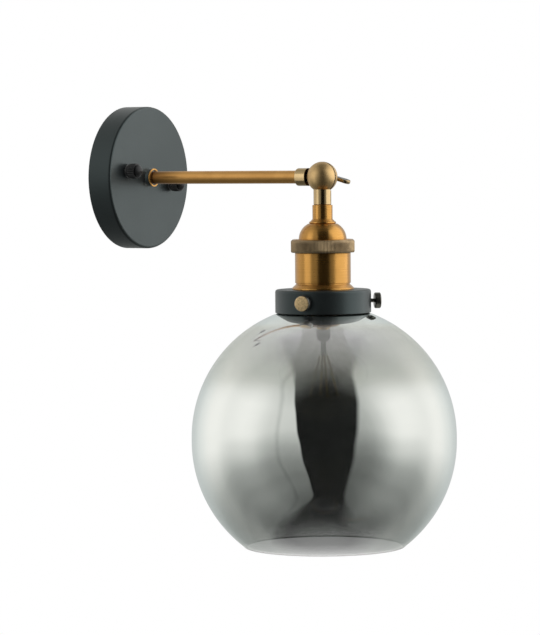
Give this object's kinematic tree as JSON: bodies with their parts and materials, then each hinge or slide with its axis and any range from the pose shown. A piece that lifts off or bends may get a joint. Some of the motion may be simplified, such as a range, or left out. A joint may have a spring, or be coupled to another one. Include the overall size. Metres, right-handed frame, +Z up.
{
  "type": "wall lamp",
  "caption": "Wall lamp with a round canopy, a straight arm, a clamped ball knuckle and a brass lamp holder under which a smoked mirror globe, open below, is held by thumb screws.",
  "frame": {"origin": "centre of the canopy on the wall's face, midway between the bracket's wall screw holes", "axes": "+Y into the wall, the arm runs out along -Y, +Z up, +X to the right seen from the room"},
  "size_m": [0.2, 0.2755, 0.3341],
  "materials": {
    "black_paint": "satin",
    "brushed_copper": "brushed",
    "antique_brass": "satin",
    "brushed_brass": "brushed",
    "dark_bronze": "satin",
    "zinc_steel": "satin",
    "contact_brass": "satin",
    "white_ceramic": "satin",
    "terminal_plastic": "satin",
    "wire_insulation": "satin",
    "fibre": "matte",
    "smoked_glass": "half mirror",
    "clear_glass": "polished",
    "bulb_metal": "satin",
    "black_glass": "gloss",
    "filament_coat": "matte"
  },
  "bodies": {
    "wall_arm": {"canopy": "black_paint", "wall_bracket": "zinc_steel", "bracket_studs": "zinc_steel", "stud_lock_nuts": "zinc_steel", "terminal_block": "terminal_plastic", "terminal_screws": "contact_brass", "earth_screw": "zinc_steel", "arm_tube": "brushed_copper", "arm_lock_nut": "zinc_steel", "arm_lock_washer": "zinc_steel", "arm_collar": "black_paint", "arm_collar_ring": "antique_brass", "arm_wires": "wire_insulation", "knuckle_arm_half": "antique_brass", "knuckle_washer": "fibre"},
    "lamp_head": {"knuckle_head_half": "antique_brass", "head_nipple": "contact_brass", "holder_cap": "brushed_brass", "holder_body": "brushed_brass", "holder_insert": "white_ceramic", "insert_screws": "contact_brass", "socket_shell": "contact_brass", "centre_contact": "contact_brass", "head_wires": "wire_insulation", "shade_ring": "contact_brass", "gallery": "black_paint", "glass_globe": "smoked_glass"},
    "wing_screw": {"wing_screw": "antique_brass"},
    "holder_ring": {"holder_ring": "dark_bronze"},
    "thumb_screw_1": {"thumb_screw_1": "antique_brass"},
    "thumb_screw_2": {"thumb_screw_2": "antique_brass"},
    "thumb_screw_3": {"thumb_screw_3": "antique_brass"},
    "canopy_nut_left": {"canopy_nut_left": "black_paint"},
    "canopy_nut_right": {"canopy_nut_right": "black_paint"},
    "bulb": {"bulb_glass": "clear_glass", "bulb_cap": "bulb_metal", "bulb_insulator": "black_glass", "bulb_tip": "contact_brass", "bulb_stem": "clear_glass", "bulb_filaments": "filament_coat"}
  },
  "joints": [
    {"name": "head_tilt", "type": "hinge", "parent": "wall_arm", "child": "lamp_head", "pos_m": [0, -0.1755, 0], "axis": [-1, 0, 0], "range_deg": [-20, 200]},
    {"name": "wing_screw_turn", "type": "hinge", "parent": "lamp_head", "child": "wing_screw", "pos_m": [0.012, -0.1755, 0], "axis": [1, 0, 0], "continuous": true},
    {"name": "holder_ring_turn", "type": "hinge", "parent": "lamp_head", "child": "holder_ring", "pos_m": [0, -0.1755, -0.052], "axis": [0, 0, 1], "continuous": true},
    {"name": "bulb_turn", "type": "hinge", "parent": "lamp_head", "child": "bulb", "pos_m": [0, -0.1755, -0.09], "axis": [0, 0, 1], "continuous": true},
    {"name": "thumb_screw_1_turn", "type": "hinge", "parent": "lamp_head", "child": "thumb_screw_1", "pos_m": [-0.03566, -0.18115, -0.0934], "axis": [-0.9877, -0.1564, 0], "continuous": true},
    {"name": "thumb_screw_2_turn", "type": "hinge", "parent": "lamp_head", "child": "thumb_screw_2", "pos_m": [0.02272, -0.20356, -0.0934], "axis": [0.6293, -0.7771, 0], "continuous": true},
    {"name": "thumb_screw_3_turn", "type": "hinge", "parent": "lamp_head", "child": "thumb_screw_3", "pos_m": [0.01294, -0.1418, -0.0934], "axis": [0.3584, 0.9336, 0], "continuous": true},
    {"name": "canopy_nut_left_turn", "type": "hinge", "parent": "wall_arm", "child": "canopy_nut_left", "pos_m": [-0.03004, -0.02, 0.0053], "axis": [0, -1, 0], "continuous": true},
    {"name": "canopy_nut_right_turn", "type": "hinge", "parent": "wall_arm", "child": "canopy_nut_right", "pos_m": [0.03004, -0.02, -0.0053], "axis": [0, -1, 0], "continuous": true}
  ]
}
